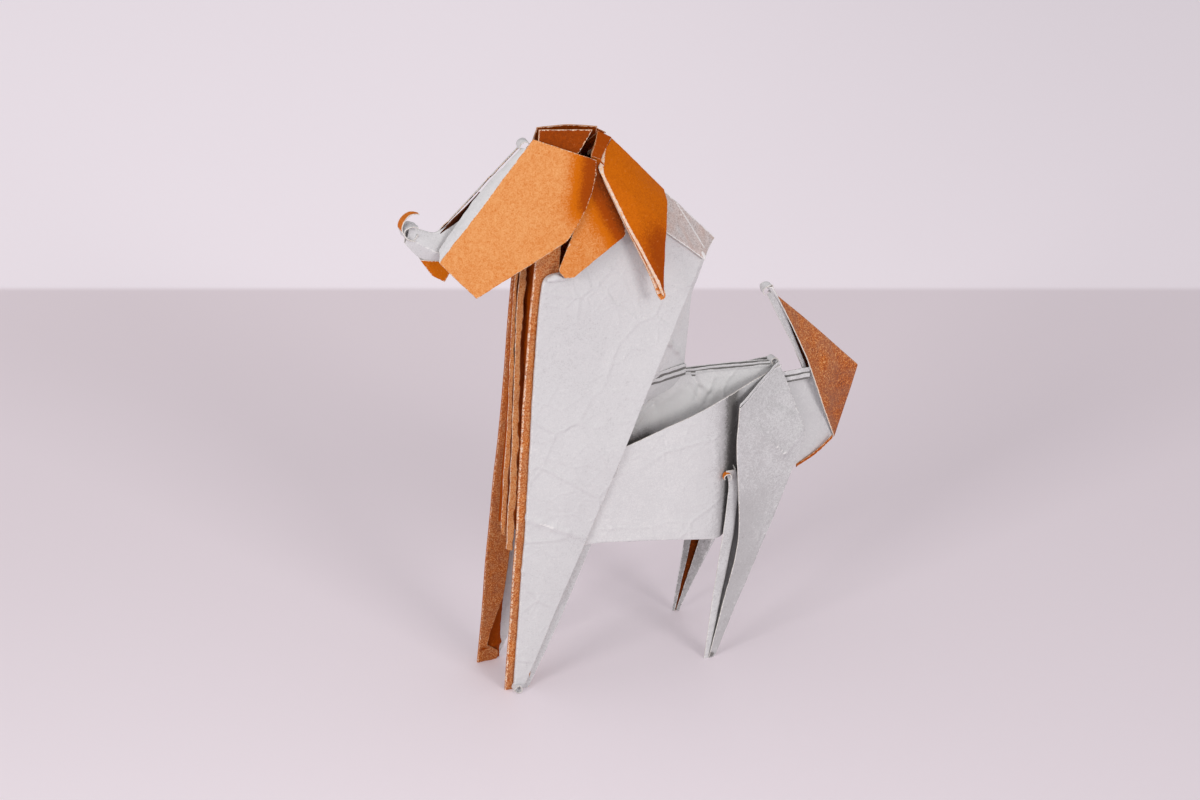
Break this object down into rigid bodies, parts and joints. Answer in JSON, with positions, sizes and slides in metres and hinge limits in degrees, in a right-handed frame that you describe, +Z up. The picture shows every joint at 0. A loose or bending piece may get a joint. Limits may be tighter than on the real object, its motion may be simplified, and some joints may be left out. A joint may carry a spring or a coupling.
{
  "type": "origami dog",
  "caption": "Standing long-necked dog folded from a sheet of two-tone paper, with pleated chest, hanging ears and upright tail; stands on its own as decoration.",
  "frame": {"origin": "middle of the bounding box's footprint, on the ground under the feet", "axes": "+Z up, -X towards the nose, +Y towards the dog's right side"},
  "size_m": [0.0586, 0.013, 0.072],
  "materials": {
    "two_tone_paper": "thin uncoated paper, pale grey on one side and orange brown on the other, with whitened fold lines"
  },
  "bodies": {
    "root": {"folded_sheet": "two_tone_paper"}
  },
  "joints": []
}
